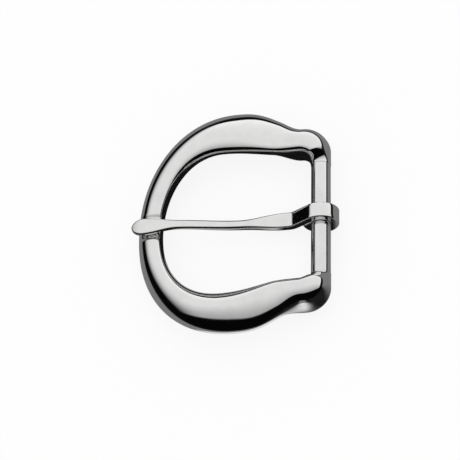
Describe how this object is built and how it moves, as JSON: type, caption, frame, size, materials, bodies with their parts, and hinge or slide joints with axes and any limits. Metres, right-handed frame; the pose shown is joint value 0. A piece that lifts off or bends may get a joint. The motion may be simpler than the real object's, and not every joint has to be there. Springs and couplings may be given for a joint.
{
  "type": "belt buckle",
  "caption": "Heel-bar belt buckle: polished horseshoe frame with swelling arms, a round bar between its lugs and a hinged tongue that rests on the nose.",
  "frame": {"origin": "middle of the heel bar's axis, half way between the two lugs", "axes": "+Y along the heel bar, -X towards the nose, +Z out of the front of the buckle"},
  "size_m": [0.062, 0.0724, 0.013],
  "materials": {
    "frame": "bright polished nickel or chrome plate on a casting",
    "bar": "bright polished nickel or chrome plate on steel",
    "tongue": "bright polished nickel or chrome plate on steel strip"
  },
  "bodies": {
    "frame": {"frame": "frame", "bar": "bar"},
    "tongue": {"tongue": "tongue"}
  },
  "joints": [
    {"name": "tongue_swing", "type": "hinge", "parent": "frame", "child": "tongue", "pos_m": [0, 0, 0], "axis": [0, 1, 0], "range_deg": [0, 170]}
  ]
}
